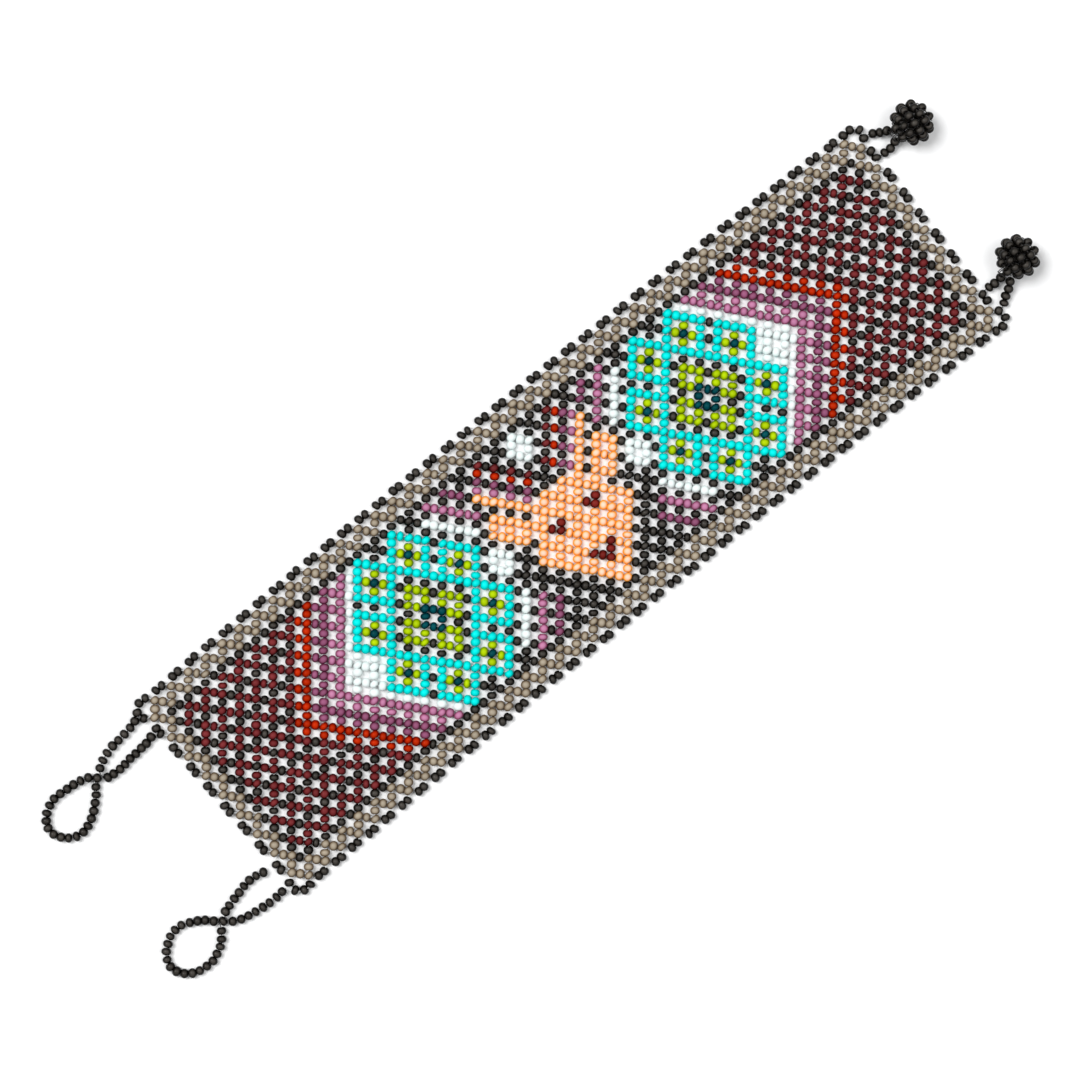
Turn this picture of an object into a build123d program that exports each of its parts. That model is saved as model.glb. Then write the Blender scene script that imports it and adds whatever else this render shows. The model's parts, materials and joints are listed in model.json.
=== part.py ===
"""Netted seed-bead bracelet: a flat band of beads on nylon thread, two beaded loops at one end and two
beaded ball buttons at the other. Millimetres, +X along the band towards the buttons, +Z up, beads on z = 0."""

import os
from math import atan2, cos, degrees, radians, sin

from build123d import *

os.makedirs("parts", exist_ok=True)

# seed bead
BEAD_D = 2.0
BEAD_L = 1.4
HOLE_D = 0.8
RIM_R = 0.62  # where the rounded side meets the flat end
SIDE_L = 0.64  # length of the widest part
THREAD_D = 0.2
THREAD_OFF = 0.15  # two rows share each knot bead's hole, this far either side of its middle

# net: half-steps along (s) and across (q) the band; a knot bead where (s + q) / 2 is odd, a link bead at odd s
STEP_X = 1.1095
STEP_Y = 1.3075
END_S = 82
EDGE_Q = 18
MID_Z = BEAD_D / 2
KNOT_REACH = 0.5  # the thread runs straight this far either side of a knot bead's middle
BOW_R = 2980  # the band lies in a shallow bow, its ends towards -Y
COLUMN_LEAN = 0.85  # degrees that the columns lean towards -X

# pairs of black beads that close each notch of the edge
EDGE_PAIR = 0.95
EDGE_PAIR_OUT = 1.42
EDGE_PAIR_TILT = 20
END_PAIR = 1.0
END_PAIR_OUT = 1.27
CORNER = [(89.8, 25.1), (91.5, 25.2), (92.95, 24.05), (92.72, 22.12)]
CORNER_GAP = 0.8  # the corner's thread turns into a knot bead this far from its middle

# the band bends at these columns, whose knot beads' holes lie across the band
FOLDS = [8, 24, 40, 56, 72]

# loops, as X, Y of the bead middles: the crossing bead, the run out to it, round the far end, and the run back
LOOP_P = (
    (-108.5, 17.3),
    [(-95.5, 21.5), (-98.1, 20.8), (-101.0, 20.5), (-104.3, 19.8), (-107.0, 18.55)],
    [
        (-110.0, 18.55),
        (-112.9, 19.2),
        (-116.0, 19.5),
        (-119.1, 19.2),
        (-121.5, 17.7),
        (-122.8, 15.7),
        (-122.2, 13.0),
        (-120.4, 11.2),
        (-117.4, 10.5),
        (-114.9, 11.5),
        (-112.6, 13.1),
        (-110.0, 16.05),
    ],
    [(-107.0, 16.05), (-104.4, 15.8), (-101.4, 16.1), (-98.5, 16.3), (-95.0, 16.9)],
)
LOOP_N = (
    (-107.0, -21.2),
    [(-94.5, -18.6), (-97.4, -18.1), (-100.2, -18.5), (-103.0, -19.2), (-105.5, -19.95)],
    [
        (-108.5, -19.95),
        (-110.5, -18.3),
        (-112.9, -17.0),
        (-115.8, -16.5),
        (-118.2, -17.5),
        (-120.4, -19.5),
        (-121.1, -21.9),
        (-119.9, -24.4),
        (-117.5, -25.9),
        (-114.3, -26.2),
        (-111.5, -25.3),
        (-108.5, -22.45),
    ],
    [(-105.5, -22.45), (-103.1, -23.4), (-100.0, -23.9), (-97.0, -24.2), (-93.9, -24.1)],
)
STRAND_PITCH = 1.5
EYE_PITCH = 1.6
CROSS_REACH = 0.85  # the threads turn into the crossing bead this far from its middle
BEAD_REACH = 0.6  # on loops and buttons the thread runs straight this far either side of a bead's middle
ROOT_REACH = 0.95  # from a strand's first bead middle back to where its thread comes out of the band

# ball buttons: the middle of each ball, and its two strands as X, Y, Z of their bead middles
BALL_R = 3.68  # to the bead middles
BALL_Z = BALL_R + BEAD_D / 2
BALL_P = (102.3, 17.0)
BALL_N = (101.8, -17.4)
STRANDS_P = [
    [(94.95, 20.3, 1.02), (96.2, 19.6, 1.5), (97.5, 18.9, 2.2)],
    [(94.4, 15.8, 1.02), (95.9, 15.85, 1.3), (97.4, 16.2, 2.0)],
]
STRANDS_N = [
    [(93.75, -18.6, 1.02), (95.25, -18.65, 1.3), (96.8, -18.55, 1.95)],
    [(94.1, -23.0, 1.02), (95.35, -22.15, 1.3), (96.65, -21.4, 1.75), (97.7, -20.3, 2.5)],
]
BALL_RINGS = [(-66, 4), (-33, 11), (0, 13), (33, 11), (66, 4)]  # latitude about X and number of beads
BALL_STEP = 2.5  # latitude between a ring and where its thread goes on to the next ring
BALL_MOUTH = 4.9  # from the ball's middle to where its strands enter, towards the band
TIE_KNOT_D = 0.8
TIE_KNOT_X = 1.6  # from the ball's middle, towards the band

# colour of every bead. K black, T taupe, M maroon, O orange, P purple, L lilac, W white, Q turquoise, G green,
# B teal, C peach, R dark red. The centre section by rows across, from the middle of the band outwards.
CENTRE = {
    -14: "WKMKPLK",
    -13: "WKKKOKKPKLKKK",
    -12: "WMPPLW",
    -11: "WKKOKLKKLKWK",
    -10: "WMPCLW",
    -9: "KKOKLCKLKWK",
    -8: "MPCLW",
    -7: "KOKLCKKKWK",
    -6: "KPCCW",
    -5: "KKLCKCCKK",
    -4: "CCCC",
    -3: "CCCKCCCKK",
    -2: "CCCCW",
    -1: "CCCCCCKWWK",
    0: "CCCWW",
    1: "CRRCKKKWWK",
    2: "CRCKW",
    3: "CCCCCKKKK",
    4: "CCCK",
    5: "CCCCCKKKK",
    6: "CCCKW",
    7: "CCCCKKKKWK",
    8: "RCKLW",
    9: "RCCKKKKLKWK",
    10: "RCKPLW",
    11: "CCKKKKPKLKWK",
    12: "CKKPLW",
    13: "CKKKKKKPKLKKK",
    14: "CKKKPLK",
}
FLOWER_S = 32  # middle of each flower, in half-steps from the middle of the band


def flower_colour(u, v):
    """Colour of a flower's bead at u, v half-steps along the net's two slants, or None outside the flower."""
    far, near = max(abs(u), abs(v)), min(abs(u), abs(v))
    if far > 9 or near > 5:
        return None
    if far == 1:
        return "B"
    if far <= 3:
        return "K" if near == 0 else "G"
    if far == 4:
        return "K"
    if far == 5:
        return "Q"
    if near == 0:
        return "K"
    if (far, near) == (7, 3):
        return "B"
    if (far, near) in ((6, 3), (8, 3), (7, 2), (7, 4)):
        return "G"
    return "Q"


def colour(s, q):
    """Colour letter of the bead at half-steps s along and q across."""
    p = abs(s)
    if abs(q) >= 16 or p >= 80:
        return "T"
    if abs(q) == 15 or p == 79:
        return "K"
    first, step = (1, 2) if q % 2 else (2 if q % 4 == 0 else 0, 4)
    place = (p - first) // step
    if place < len(CENTRE[q]):
        return CENTRE[q][place]
    u = (p - FLOWER_S + q) // 2
    v = (q - p + FLOWER_S) // 2
    petal = flower_colour(u, v)
    if petal:
        return petal
    if abs(u) > 5 and abs(v) > 5 and u * v > 0:
        return "K"
    ring = max(abs(u), abs(v))
    if ring <= 10:
        return "W"
    if ring <= 12:
        return "L"
    if ring <= 14:
        return "P"
    if ring <= 16:
        return "O"
    if s % 2:
        return "K" if abs(q) % 4 == 3 else "M"
    return "K" if q == 0 else "M"


def column(x):
    """Moves what stands on the Y axis to the column at x along the bowed band."""
    bow = Location((0, -BOW_R, 0), (0, 0, -degrees(x / BOW_R))) * Location((0, BOW_R, 0))
    return bow * Location((0, 0, 0), (0, 0, COLUMN_LEAN))


def at(x, y, turn):
    """Location on the bowed band of a bead whose hole lies in the XY plane, turned from X."""
    return column(x) * Location((0, y, MID_Z), (0, 0, turn))


def is_knot(s, q):
    return s % 2 == 0 and ((s + q) // 2) % 2 != 0


def net_places():
    """(s, q, location) of every bead of the net."""
    slant = degrees(atan2(STEP_Y, STEP_X))
    found = []
    for s in range(-END_S, END_S + 1):
        for q in range(-EDGE_Q, EDGE_Q + 1):
            if (s + q) % 2:
                continue
            if s % 2:
                turn = -slant if ((s + q) // 2) % 2 == 0 else slant
                found.append((s, q, at(s * STEP_X, -q * STEP_Y, turn)))
            elif is_knot(s, q):
                found.append((s, q, at(s * STEP_X, -q * STEP_Y, 90)))
    return found


def edge_places():
    """(s, location) of the pairs of black beads in the notches of the long edges."""
    found = []
    for s in range(-END_S + 4, END_S, 4):
        for side in (1, -1):
            for way in (1, -1):
                x = s * STEP_X + way * EDGE_PAIR
                y = side * (EDGE_Q * STEP_Y + EDGE_PAIR_OUT)
                found.append((s, at(x, y, -side * way * EDGE_PAIR_TILT)))
    return found


def corner_spots():
    """Bead middles round a corner, from the edge's last knot bead to the end's first."""
    return [((END_S - 2) * STEP_X, EDGE_Q * STEP_Y)] + CORNER + [(END_S * STEP_X, (EDGE_Q - 2) * STEP_Y)]


def end_places(end):
    """Locations of the black beads along one short end, end = 1 or -1, with the ones that turn its corners."""
    found = []
    for q in range(-EDGE_Q + 4, EDGE_Q - 3, 4):
        for way in (1, -1):
            x = end * (END_S * STEP_X + END_PAIR_OUT)
            found.append(at(x, -q * STEP_Y + way * END_PAIR, 90 + end * way * EDGE_PAIR_TILT))
    spots = corner_spots()
    for side in (1, -1):
        for before, spot, after in zip(spots, spots[1:], spots[2:]):
            turn = degrees(atan2(side * (after[1] - before[1]), end * (after[0] - before[0])))
            found.append(at(end * spot[0], side * spot[1], turn))
    return found


def row_points(near, far, way):
    """Thread points of one row between the knot columns near and far, going up (way = 1) or down the width."""
    lean = 1 if far > near else -1
    points = []
    for q in range(EDGE_Q * way, -EDGE_Q * way - way, -2 * way):
        s = near if is_knot(near, q) else far
        x = s * STEP_X + THREAD_OFF * (lean if s == near else -lean)
        y = -q * STEP_Y
        points += [(x, y - way * KNOT_REACH), (x, y + way * KNOT_REACH)]
    return points


def pair_path(s):
    """Thread through two rows of the net between columns s and s + 4, and the black beads at both edges."""
    out = EDGE_Q * STEP_Y + EDGE_PAIR_OUT
    mid = (s + 2) * STEP_X
    top = [(mid - EDGE_PAIR, out), (mid + EDGE_PAIR, out)]
    bottom = [(mid + EDGE_PAIR, -out), (mid - EDGE_PAIR, -out)]
    return row_points(s, s + 2, 1) + top + row_points(s + 4, s + 2, -1) + bottom


def corner_run(end, side):
    """Thread points through the beads that turn one corner, from the last row to the end's first knot bead."""
    spots = corner_spots()
    points = []
    for before, spot, after in zip(spots, spots[1:], spots[2:]):
        heading = (Vector(*after) - Vector(*before)).normalized() * KNOT_REACH
        points += [(spot[0] - heading.X, spot[1] - heading.Y), (spot[0] + heading.X, spot[1] + heading.Y)]
    points.append((END_S * STEP_X + THREAD_OFF, spots[-1][1] + CORNER_GAP))
    return [(end * x, side * y) for x, y in points]


def end_path(end):
    """Thread through the last row of one end, its corners and its edge beads."""
    out = end * (END_S * STEP_X + END_PAIR_OUT)
    points = row_points(end * (END_S - 2), end * END_S, 1)
    points += corner_run(end, 1)
    for q in range(-EDGE_Q + 2, EDGE_Q - 1, 4):
        x = end * (END_S * STEP_X + THREAD_OFF)
        points += [(x, -q * STEP_Y + KNOT_REACH), (x, -q * STEP_Y - KNOT_REACH)]
        if q < EDGE_Q - 2:
            notch = -(q + 2) * STEP_Y
            points += [(out, notch + END_PAIR), (out, notch - END_PAIR)]
    points += reversed(corner_run(end, -1))
    return [at(x, y, 0).position for x, y in points]


def thread_along(points):
    """Thread as a solid along straight runs."""
    with BuildPart() as run:
        with BuildLine() as path:
            Polyline(*points)
        with BuildSketch(Plane(origin=path.line @ 0, z_dir=path.line % 0)):
            Circle(THREAD_D / 2)
        sweep(transition=Transition.RIGHT)
    return run.part


def save(solids, label):
    """Writes separate solids that share one node."""
    export_step(Compound(label=label, children=solids), f"parts/{label}.step")


def save_beads(places, label):
    save([bead.part.solid().moved(place) for place in places], label)


with BuildPart() as bead:
    with BuildSketch(Plane.XY):
        with BuildLine():
            Polyline(
                (-BEAD_L / 2, HOLE_D / 2),
                (-BEAD_L / 2, RIM_R),
                (-SIDE_L / 2, BEAD_D / 2),
                (SIDE_L / 2, BEAD_D / 2),
                (BEAD_L / 2, RIM_R),
                (BEAD_L / 2, HOLE_D / 2),
                close=True,
            )
        make_face()
    revolve(axis=Axis.X)


def panel_of(s):
    """Name of the stiff panel that a bead at half-step s belongs to: c in the middle, a to the loops, b to the buttons."""
    number = sum(1 for fold in FOLDS if abs(s) > fold)
    if number == 0:
        return "c"
    return f"{'a' if s < 0 else 'b'}{number}"


PANELS = ["a5", "a4", "a3", "a2", "a1", "c", "b1", "b2", "b3", "b4", "b5"]
FAMILY = {"T": "border", "K": "black", "Q": "flower", "G": "flower", "B": "flower"}

groups = {}
for s, q, place in net_places():
    letter = colour(s, q)
    family = FAMILY.get(letter, "field")
    if panel_of(s) == "c" and letter in "CR":
        family = "face"
    groups.setdefault(f"{panel_of(s)}_{family}", []).append(place)
for s, place in edge_places():
    groups[f"{panel_of(s)}_black"].append(place)
for end, panel in ((-1, "a5"), (1, "b5")):
    groups[f"{panel}_black"] += end_places(end)
for label, places in groups.items():
    save_beads(places, label)

# one thread per pair of rows
pair_thread = thread_along([(x, y, MID_Z) for x, y in pair_path(0)])
for panel in PANELS:
    starts = [s for s in range(-END_S + 2, END_S - 2, 4) if panel_of(s + 2) == panel]
    threads = [pair_thread.moved(column(s * STEP_X)) for s in starts]
    if panel in ("a5", "b5"):
        threads.append(thread_along(end_path(-1 if panel == "a5" else 1)))
    save(threads, f"{panel}_thread")


def strung(points, pitch):
    """Bead middles and their headings, evenly spaced from the first to the last of the points."""
    with BuildLine():
        run = Spline(*[(*point, MID_Z) for point in points])
    count = int(run.length / pitch) + 1
    return [(run @ (n / (count - 1)), run % (n / (count - 1))) for n in range(count)]


def facing(spot, heading):
    """Location of a bead whose hole runs along the heading."""
    upright = heading.cross(Vector(-heading.Y, heading.X, 0))
    return Plane(origin=spot, x_dir=heading, z_dir=upright).location


def through(beads):
    """Thread points through beads given as middles and headings."""
    return [spot + heading * reach for spot, heading in beads for reach in (-BEAD_REACH, BEAD_REACH)]


def loop(label, cross, out, around, back):
    """A beaded loop: both strands pass through its crossing bead."""
    out, around, back = strung(out, STRAND_PITCH), strung(around, EYE_PITCH), strung(back, STRAND_PITCH)
    middle = Vector(*cross, MID_Z)
    along, apart = Vector(CROSS_REACH, 0, 0), Vector(0, THREAD_OFF, 0)
    root = [out[0][0] - out[0][1] * ROOT_REACH], [back[-1][0] + back[-1][1] * ROOT_REACH]
    enter = [middle + along + apart, middle - along + apart]
    leave = [middle - along - apart, middle + along - apart]
    beads = [facing(spot, heading) for spot, heading in out + around + back]
    save_beads(beads + [Location(middle)], f"{label}_beads")
    run = root[0] + through(out) + enter + through(around) + leave + through(back) + root[1]
    save([thread_along(run)], f"{label}_thread")


loop("loop_p", *LOOP_P)
loop("loop_n", *LOOP_N)


def ball_places(x, y):
    """Locations of a ball button's beads, in rings about X with their holes along the rings."""
    found = []
    for latitude, count in BALL_RINGS:
        ring_r = BALL_R * cos(radians(latitude))
        for n in range(count):
            spin = 360 * (n + 0.5) / count
            ring = Location((x + BALL_R * sin(radians(latitude)), y, BALL_Z), (spin, 0, 0))
            found.append(ring * Location((0, ring_r, 0), (0, -90, 0)))
    return found


def ball_thread(x, y):
    """The thread inside a ball button: once round through each ring, then on to the next ring."""
    points = []
    for latitude, count in BALL_RINGS:
        for n in range(count + 1):
            lean = BALL_STEP * ((n == count) - (n == 0))
            reach = BALL_R / cos(radians(180 / count))
            ring_r = reach * cos(radians(latitude + lean))
            spin = radians(360 * n / count)
            along = x + BALL_R * sin(radians(latitude + lean))
            points.append((along, y + ring_r * cos(spin), BALL_Z + ring_r * sin(spin)))
    return thread_along(points)


def button(label, ball, strands):
    """A ball button with the two beaded strands that tie it to the band."""
    places = ball_places(*ball)
    with BuildPart() as hanger:
        for side, spots in zip((1, -1), strands):
            y = ball[1] + side * THREAD_OFF
            mouth = [Vector(ball[0] - BALL_MOUTH, y, BALL_Z), Vector(ball[0] - TIE_KNOT_X, y, BALL_Z)]
            spots = [Vector(*spot) for spot in spots]
            ends = zip(spots[:1] + spots, spots[1:] + mouth)
            headings = [(after - before).normalized() for before, after in ends]
            beads = list(zip(spots, headings))
            add(thread_along([spots[0] - headings[0] * ROOT_REACH] + through(beads) + mouth))
            places += [facing(spot, heading) for spot, heading in beads]
        with Locations((ball[0] - TIE_KNOT_X, ball[1], BALL_Z)):
            Sphere(TIE_KNOT_D / 2)
    save_beads(places, f"{label}_beads")
    save([ball_thread(*ball), hanger.part], f"{label}_thread")


button("button_p", BALL_P, STRANDS_P)
button("button_n", BALL_N, STRANDS_N)
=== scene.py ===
"""Netted seed-bead bracelet: each glass bead is a rounded, slightly uneven form on the frame's threads."""

import json
import math

import bpy
import numpy as np
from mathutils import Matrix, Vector


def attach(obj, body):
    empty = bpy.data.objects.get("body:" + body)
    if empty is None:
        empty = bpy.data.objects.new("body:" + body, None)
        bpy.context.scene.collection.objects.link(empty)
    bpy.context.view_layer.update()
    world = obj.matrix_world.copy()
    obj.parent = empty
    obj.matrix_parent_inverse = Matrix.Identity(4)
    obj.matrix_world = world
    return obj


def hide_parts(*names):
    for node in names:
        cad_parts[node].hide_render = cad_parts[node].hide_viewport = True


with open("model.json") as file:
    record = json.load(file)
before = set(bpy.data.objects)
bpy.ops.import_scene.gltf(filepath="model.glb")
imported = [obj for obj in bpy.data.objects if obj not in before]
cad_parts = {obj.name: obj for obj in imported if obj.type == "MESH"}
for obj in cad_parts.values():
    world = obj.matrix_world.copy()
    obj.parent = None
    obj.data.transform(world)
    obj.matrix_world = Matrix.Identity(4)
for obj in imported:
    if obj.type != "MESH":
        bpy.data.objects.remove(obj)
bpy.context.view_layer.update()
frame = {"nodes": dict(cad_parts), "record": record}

MM = 0.001

# seed bead, as the frame's
BEAD_D = 2.0 * MM
BEAD_L = 1.4 * MM
HOLE_D = 0.8 * MM
STEP_X = 1.1095 * MM  # half-steps of the net along and across the band
STEP_Y = 1.3075 * MM
BOW_R = 2980 * MM  # the frame's band lies in a shallow bow, its ends towards -Y
COLUMN_LEAN = math.radians(0.85)

# the glass form of a bead
AROUND = 22  # faces round it
ALONG = 10  # points from lip to lip
LIP_R = 0.235 * BEAD_D  # where its side turns in to the hole
BULGE = 0.92  # below 1, its side stands fuller than a circle's
HOLE_END = 0.44 * BEAD_L  # how far from the middle the straight part of its hole ends
LENGTH, WIDTH = 1.09, 1.02  # middling size against the frame's bead

# how uneven the beads are
LONGER = 0.08
WIDER = 0.035
OVAL = 0.02
TILT = math.radians(6.0)
SHIFT = 0.05 * MM
LEAN = 0.2 * MM  # the two beads in a notch lean on each other, each this much nearer
SINK = 0.6  # the share of SHIFT that goes up or down

rng = np.random.default_rng(11)


# ---------------------------------------------------------------- pattern

# K black, T taupe, M maroon, O orange, P purple, L lilac, W white, Q turquoise, G green, B teal, C peach,
# R dark red. The centre section by rows across, from the middle of the band outwards.
CENTRE = {
    -14: "WKMKPLK",
    -13: "WKKKOKKPKLKKK",
    -12: "WMPPLW",
    -11: "WKKOKLKKLKWK",
    -10: "WMPCLW",
    -9: "KKOKLCKLKWK",
    -8: "MPCLW",
    -7: "KOKLCKKKWK",
    -6: "KPCCW",
    -5: "KKLCKCCKK",
    -4: "CCCC",
    -3: "CCCKCCCKK",
    -2: "CCCCW",
    -1: "CCCCCCKWWK",
    0: "CCCWW",
    1: "CRRCKKKWWK",
    2: "CRCKW",
    3: "CCCCCKKKK",
    4: "CCCK",
    5: "CCCCCKKKK",
    6: "CCCKW",
    7: "CCCCKKKKWK",
    8: "RCKLW",
    9: "RCCKKKKLKWK",
    10: "RCKPLW",
    11: "CCKKKKPKLKWK",
    12: "CKKPLW",
    13: "CKKKKKKPKLKKK",
    14: "CKKKPLK",
}
FLOWER_S = 32
RINGS = ((10, "W"), (12, "L"), (14, "P"), (16, "O"))


def flower_colour(u, v):
    far, near = max(abs(u), abs(v)), min(abs(u), abs(v))
    if far > 9 or near > 5:
        return None
    if far == 1:
        return "B"
    if far <= 3:
        return "K" if near == 0 else "G"
    if far == 4:
        return "K"
    if far == 5:
        return "Q"
    if near == 0:
        return "K"
    if (far, near) == (7, 3):
        return "B"
    if (far, near) in ((6, 3), (8, 3), (7, 2), (7, 4)):
        return "G"
    return "Q"


def colour(s, q):
    """Colour letter of the net's bead at half-steps s along and q across."""
    p = abs(s)
    if abs(q) >= 16 or p >= 80:
        return "T"
    if abs(q) == 15 or p == 79:
        return "K"
    first, step = (1, 2) if q % 2 else (2 if q % 4 == 0 else 0, 4)
    place = (p - first) // step
    if place < len(CENTRE[q]):
        return CENTRE[q][place]
    u = (p - FLOWER_S + q) // 2
    v = (q - p + FLOWER_S) // 2
    petal = flower_colour(u, v)
    if petal:
        return petal
    if abs(u) > 5 and abs(v) > 5 and u * v > 0:
        return "K"
    ring = max(abs(u), abs(v))
    for most, letter in RINGS:
        if ring <= most:
            return letter
    if s % 2:
        return "K" if abs(q) % 4 == 3 else "M"
    return "K" if q == 0 else "M"


# ---------------------------------------------------------------- bead shape


def bead_profile():
    """X along the hole and radius, once round the section: nearly round, cut off where the hole comes out."""
    far = math.acos(LIP_R / (BEAD_D / 2))
    points = []
    for a in np.linspace(-far, far, ALONG):
        points.append((0.5 * BEAD_L * math.sin(a) / math.sin(far), BEAD_D / 2 * math.cos(a) ** BULGE))
    points.append((HOLE_END, HOLE_D / 2))
    points.append((-HOLE_END, HOLE_D / 2))
    return points


def bead_mesh():
    """Points and quads of one bead with its hole along X."""
    ring = bead_profile()
    turns = np.arange(AROUND) * 2 * math.pi / AROUND
    points = [(x, r * math.cos(t), r * math.sin(t)) for t in turns for x, r in ring]
    n = len(ring)
    quads = []
    for i in range(AROUND):
        for j in range(n):
            a, b = i * n + j, i * n + (j + 1) % n
            c, d = (i + 1) % AROUND * n + (j + 1) % n, (i + 1) % AROUND * n + j
            quads.append((a, b, c, d))
    return np.array(points), np.array(quads)


POINTS, QUADS = bead_mesh()


LENGTH_SLACK = 0.03 * MM  # the frame's beads are all of one length, to within this


def islands(node):
    """Middle and hole direction of every bead of a CAD node."""
    mesh = frame["nodes"][node].data
    flat = np.empty(len(mesh.vertices) * 3)
    mesh.vertices.foreach_get("co", flat)
    spots, of = np.unique(np.round(flat.reshape(-1, 3), 7), axis=0, return_inverse=True)
    of = of.ravel()
    edges = np.empty(len(mesh.edges) * 2, dtype=np.int64)
    mesh.edges.foreach_get("vertices", edges)
    one, other = of[edges.reshape(-1, 2)].T
    label = np.arange(len(spots))
    while True:
        low = np.minimum(label[one], label[other])
        new = label.copy()
        np.minimum.at(new, one, low)
        np.minimum.at(new, other, low)
        new = new[new]
        if (new == label).all():
            break
        label = new
    found = []
    for mark in np.unique(label):
        cloud = spots[label == mark]
        middle = cloud.mean(0)
        off = cloud - middle
        axis = np.linalg.eigh(off.T @ off)[1][:, 2]
        found.append((middle, axis))
        length = np.ptp(off @ axis)
        if abs(length - BEAD_L) > LENGTH_SLACK:
            raise RuntimeError(f"{node}: a bead {length} long at {middle}")
    return found


def net_place(middle):
    """Half-steps along and across the band of a bead's middle, with the bow and the lean taken out."""
    out = math.hypot(middle[0], middle[1] + BOW_R) - BOW_R
    along = math.atan2(middle[0], middle[1] + BOW_R) * BOW_R + out * math.tan(COLUMN_LEAN)
    return round(along / STEP_X), round(-out / STEP_Y)


def leaned(beads):
    """The same beads, with the two in each notch of the edge and of the ends moved up against each other."""
    spots = np.array([middle for middle, axis in beads])
    moved = []
    for middle, axis in beads:
        s, q = map(abs, net_place(middle))
        if (q == 19 and s < 80) or (s == 83 and q < 16):
            away = spots - middle
            gaps = np.linalg.norm(away, axis=1)
            partner = gaps.argsort()[1]
            middle = middle + LEAN * away[partner] / gaps[partner]
        moved.append((middle, axis))
    return moved


def turned(axis):
    """Rotation that takes X to the axis, by a random amount about it, and a small tilt."""
    x = axis / np.linalg.norm(axis) + rng.normal(0, math.tan(TILT) / 2, 3)
    x /= np.linalg.norm(x)
    if rng.random() < 0.5:
        x = -x
    side = rng.normal(size=3)
    y = np.cross(x, side)
    y /= np.linalg.norm(y)
    return np.stack([x, y, np.cross(x, y)], axis=1)


def bead_piece(name, beads, material, body, nodes):
    """One object of many beads."""
    count = len(POINTS)
    verts = np.empty((len(beads) * count, 3))
    shade = np.empty(len(beads) * count)
    for i, (middle, axis) in enumerate(beads):
        long = LENGTH + LONGER * np.clip(rng.normal(), -2.0, 1.0)
        wide = WIDTH + WIDER * np.clip(rng.normal(), -2.0, 1.0)
        local = POINTS * (long, wide, wide * (1 + OVAL * rng.normal()))
        spot = middle + rng.normal(0, SHIFT, 3) * (1, 1, SINK)
        verts[i * count : (i + 1) * count] = local @ turned(axis).T + spot
        shade[i * count : (i + 1) * count] = rng.random()
    quads = (QUADS[None] + np.arange(len(beads))[:, None, None] * count).reshape(-1, 4)
    mesh = bpy.data.meshes.new(name)
    mesh.vertices.add(len(verts))
    mesh.vertices.foreach_set("co", verts.ravel())
    mesh.loops.add(quads.size)
    mesh.loops.foreach_set("vertex_index", quads.ravel())
    mesh.polygons.add(len(quads))
    mesh.polygons.foreach_set("loop_start", np.arange(len(quads)) * 4)
    mesh.update(calc_edges=True)
    mesh.polygons.foreach_set("use_smooth", np.ones(len(quads), dtype=bool))
    tint = mesh.attributes.new("tint", "FLOAT", "POINT")
    tint.data.foreach_set("value", shade)
    mesh.materials.append(material)
    piece = bpy.data.objects.new(name, mesh)
    bpy.context.scene.collection.objects.link(piece)
    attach(piece, body)
    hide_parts(*nodes)
    return piece


# ---------------------------------------------------------------- materials


def tree_of(name):
    material = bpy.data.materials.new(name)
    material.use_nodes = True
    tree = material.node_tree
    return material, tree, tree.nodes["Principled BSDF"]


def add_node(tree, kind, **sockets):
    node = tree.nodes.new(kind)
    for key, value in sockets.items():
        node.inputs[key.replace("_", " ")].default_value = value
    return node


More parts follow.
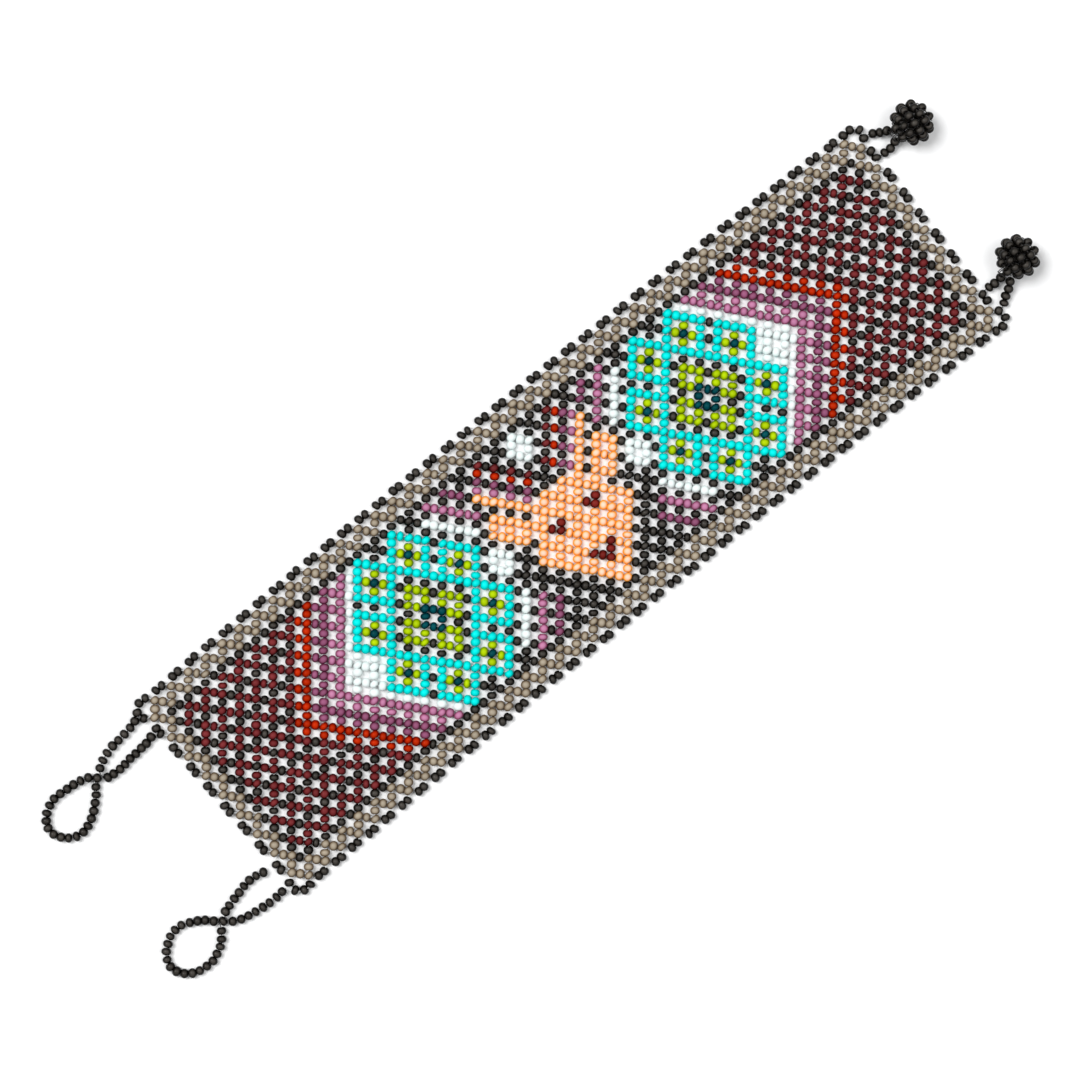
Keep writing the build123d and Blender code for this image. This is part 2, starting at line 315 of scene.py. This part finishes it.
def glass(name, painted_lit_colour, side, spread=0.16, lit_from=0.5, rough=0.26, uneven=0.35, specular=0.03):
    """Opaque bead glass with painted light and shade: a painted lit colour where the surface faces either
    face of the band, a painted shaded colour where it turns away; no two beads alike.
    """
    material, tree, shader = tree_of(name)
    link = tree.links.new
    coords = tree.nodes.new("ShaderNodeTexCoord")
    split = tree.nodes.new("ShaderNodeSeparateXYZ")
    link(coords.outputs["Normal"], split.inputs[0])
    # painted light and shade: where the object-space normal turns towards +Z or -Z, the colour runs from the
    # painted shaded colour to the painted lit colour
    painted_light_mix = tree.nodes.new("ShaderNodeMapRange")
    painted_light_mix.interpolation_type = "SMOOTHSTEP"
    painted_light_mix.inputs["From Min"].default_value = lit_from
    painted_light_mix.inputs["From Max"].default_value = 1.0
    either = tree.nodes.new("ShaderNodeMath")
    either.operation = "ABSOLUTE"
    link(split.outputs["Z"], either.inputs[0])
    link(either.outputs[0], painted_light_mix.inputs["Value"])
    # side is the painted shaded colour, the other the painted lit colour
    body = tree.nodes.new("ShaderNodeMix")
    body.data_type = "RGBA"
    body.inputs["A"].default_value = (*side, 1)
    body.inputs["B"].default_value = (*painted_lit_colour, 1)
    link(painted_light_mix.outputs["Result"], body.inputs["Factor"])

    tint = tree.nodes.new("ShaderNodeAttribute")
    tint.attribute_name = "tint"
    cloudy = add_node(tree, "ShaderNodeTexNoise", Scale=900.0, Detail=2.0, Roughness=0.5)
    link(coords.outputs["Object"], cloudy.inputs["Vector"])
    mixed = tree.nodes.new("ShaderNodeMath")
    mixed.operation = "MULTIPLY_ADD"
    mixed.inputs[1].default_value = uneven
    link(cloudy.outputs["Fac"], mixed.inputs[0])
    link(tint.outputs["Fac"], mixed.inputs[2])
    level = tree.nodes.new("ShaderNodeMapRange")
    level.inputs["From Min"].default_value = 0.0
    level.inputs["From Max"].default_value = 1.0 + uneven
    level.inputs["To Min"].default_value = 1.0 - spread
    level.inputs["To Max"].default_value = 1.0 + spread
    link(mixed.outputs[0], level.inputs["Value"])
    tone = tree.nodes.new("ShaderNodeHueSaturation")
    link(level.outputs["Result"], tone.inputs["Value"])
    link(body.outputs["Result"], tone.inputs["Color"])
    link(tone.outputs["Color"], shader.inputs["Base Color"])

    gloss = tree.nodes.new("ShaderNodeMapRange")
    gloss.inputs["To Min"].default_value = rough - 0.06
    gloss.inputs["To Max"].default_value = rough + 0.10
    link(cloudy.outputs["Fac"], gloss.inputs["Value"])
    link(gloss.outputs["Result"], shader.inputs["Roughness"])
    wave = add_node(tree, "ShaderNodeTexNoise", Scale=1400.0, Detail=1.0)
    link(coords.outputs["Object"], wave.inputs["Vector"])
    bump = add_node(tree, "ShaderNodeBump", Strength=0.18, Distance=0.00008)
    link(wave.outputs["Fac"], bump.inputs["Height"])
    link(bump.outputs["Normal"], shader.inputs["Normal"])
    shader.inputs["IOR"].default_value = 1.5
    shader.inputs["Specular IOR Level"].default_value = specular
    return material


def nylon(name, dull, clear):
    """Thread with fine streaks along it."""
    material, tree, shader = tree_of(name)
    link = tree.links.new
    coords = tree.nodes.new("ShaderNodeTexCoord")
    streak = add_node(tree, "ShaderNodeTexNoise", Scale=600.0, Detail=2.0)
    link(coords.outputs["Object"], streak.inputs["Vector"])
    ramp = tree.nodes.new("ShaderNodeMapRange")
    ramp.inputs["To Min"].default_value = 0.30
    ramp.inputs["To Max"].default_value = 0.50
    link(streak.outputs["Fac"], ramp.inputs["Value"])
    link(ramp.outputs["Result"], shader.inputs["Roughness"])
    body = tree.nodes.new("ShaderNodeMix")
    body.data_type = "RGBA"
    body.inputs["A"].default_value = (*dull, 1)
    body.inputs["B"].default_value = (*clear, 1)
    link(streak.outputs["Fac"], body.inputs["Factor"])
    link(body.outputs["Result"], shader.inputs["Base Color"])
    shader.inputs["IOR"].default_value = 1.53
    return material


# for each glass the first colour is its painted lit colour for surfaces facing up or down, the second its
# painted shaded colour where the surface turns away; on the black glass the lit colour is a painted highlight
GLASS = {
    "K": glass(
        "glass_black", (0.044, 0.039, 0.034), (0.0025, 0.002, 0.0015), spread=0.35, lit_from=0.62, specular=0.10
    ),
    "T": glass("glass_taupe", (0.335, 0.285, 0.215), (0.135, 0.092, 0.055), spread=0.12, specular=0.08),
    "M": glass("glass_maroon", (0.155, 0.022, 0.024), (0.045, 0.002, 0.003), spread=0.25),
    "O": glass("glass_orange", (0.42, 0.020, 0.001), (0.16, 0.001, 0.0002), spread=0.28),
    "P": glass("glass_purple", (0.26, 0.080, 0.160), (0.11, 0.020, 0.048), spread=0.18),
    "L": glass("glass_lilac", (0.45, 0.175, 0.31), (0.24, 0.055, 0.12), spread=0.14),
    "W": glass("glass_white", (0.75, 0.82, 0.81), (0.76, 0.84, 0.83), spread=0.03, specular=0.1),
    "Q": glass("glass_turquoise", (0.001, 0.72, 0.68), (0.0002, 0.56, 0.53), spread=0.07),
    "G": glass("glass_green", (0.38, 0.54, 0.001), (0.175, 0.27, 0.0003), spread=0.14),
    "B": glass("glass_teal", (0.001, 0.060, 0.072), (0.0003, 0.016, 0.023), spread=0.3),
    "C": glass("glass_peach", (0.96, 0.57, 0.43), (0.98, 0.355, 0.035), lit_from=0.56, spread=0.06),
    "R": glass("glass_red", (0.17, 0.016, 0.012), (0.055, 0.002, 0.002), spread=0.2),
}
BODY = {node: body for body, nodes in frame["record"]["behaviour"]["bodies"].items() for node in nodes}

# ---------------------------------------------------------------- pieces

thread_material = nylon("nylon", (0.62, 0.64, 0.64), (0.80, 0.82, 0.82))
dark_thread = nylon("dark_nylon", (0.010, 0.009, 0.009), (0.022, 0.020, 0.020))
for node in sorted(BODY):
    if node.endswith("_thread"):
        holder = frame["nodes"][node]
        for place in holder.material_slots:
            place.material = thread_material if BODY[node].startswith("band") else dark_thread
        continue
    by_letter = {}
    plain = node.endswith(("_black", "_beads"))
    for middle, axis in islands(node):
        s, q = net_place(middle)
        letter = "K" if plain else colour(s, q)
        by_letter.setdefault(letter, []).append((middle, axis))
    for letter, beads in sorted(by_letter.items()):
        if node.endswith("_black"):
            beads = leaned(beads)
        name = f"{node}_{GLASS[letter].name.split('_')[1]}"
        bead_piece(name, beads, GLASS[letter], BODY[node], [node])

# ---------------------------------------------------------------- floor, light and camera

floor_mesh = bpy.data.meshes.new("floor")
reach = 3.0
floor_corners = [(-reach, -reach, 0), (reach, -reach, 0), (reach, reach, 0), (-reach, reach, 0)]
floor_mesh.from_pydata(floor_corners, [], [(0, 1, 2, 3)])
floor = bpy.data.objects.new("floor", floor_mesh)
floor.location.z = -0.02 * MM
bpy.context.scene.collection.objects.link(floor)
floor_material, floor_tree, floor_shader = tree_of("floor_paint")
floor_shader.inputs["Base Color"].default_value = (0.89, 0.893, 0.897, 1)
floor_shader.inputs["Roughness"].default_value = 0.8
floor_shader.inputs["Specular IOR Level"].default_value = 0.1
floor_mesh.materials.append(floor_material)

world = bpy.data.worlds.new("studio")
bpy.context.scene.world = world
world.use_nodes = True
world.node_tree.nodes["Background"].inputs["Color"].default_value = (1, 1, 1, 1)
world.node_tree.nodes["Background"].inputs["Strength"].default_value = 0.22


def softbox(name, direction, angle, strength):
    """A soft light from a direction, so far off that it lights the whole floor alike."""
    light = bpy.data.lights.new(name, "SUN")
    light.angle = math.radians(angle)
    light.energy = strength
    lamp = bpy.data.objects.new(name, light)
    lamp.rotation_mode = "QUATERNION"
    lamp.rotation_quaternion = Vector(direction).to_track_quat("Z", "Y")
    bpy.context.scene.collection.objects.link(lamp)


softbox("key", (-0.20, 0.45, 0.95), 34, 2.78)
softbox("fill", (0.40, -0.30, 1.0), 38, 1.28)

VIEW_X, VIEW_Y = -8.83 * MM, -1.43 * MM  # what the camera looks straight down at
VIEW_WIDTH = 218.2 * MM
VIEW_TURN = math.radians(-38.88)
LENS, SENSOR = 200.0, 36.0
camera = bpy.data.objects.new("camera", bpy.data.cameras.new("camera"))
camera.data.lens = LENS
camera.data.sensor_width = SENSOR
camera.location = (VIEW_X, VIEW_Y, VIEW_WIDTH * LENS / SENSOR + 1.0 * MM)
camera.rotation_euler = (0, 0, VIEW_TURN)
camera.data.clip_end = 10
bpy.context.scene.collection.objects.link(camera)
bpy.context.scene.camera = camera
bpy.context.scene.view_settings.view_transform = "Standard"
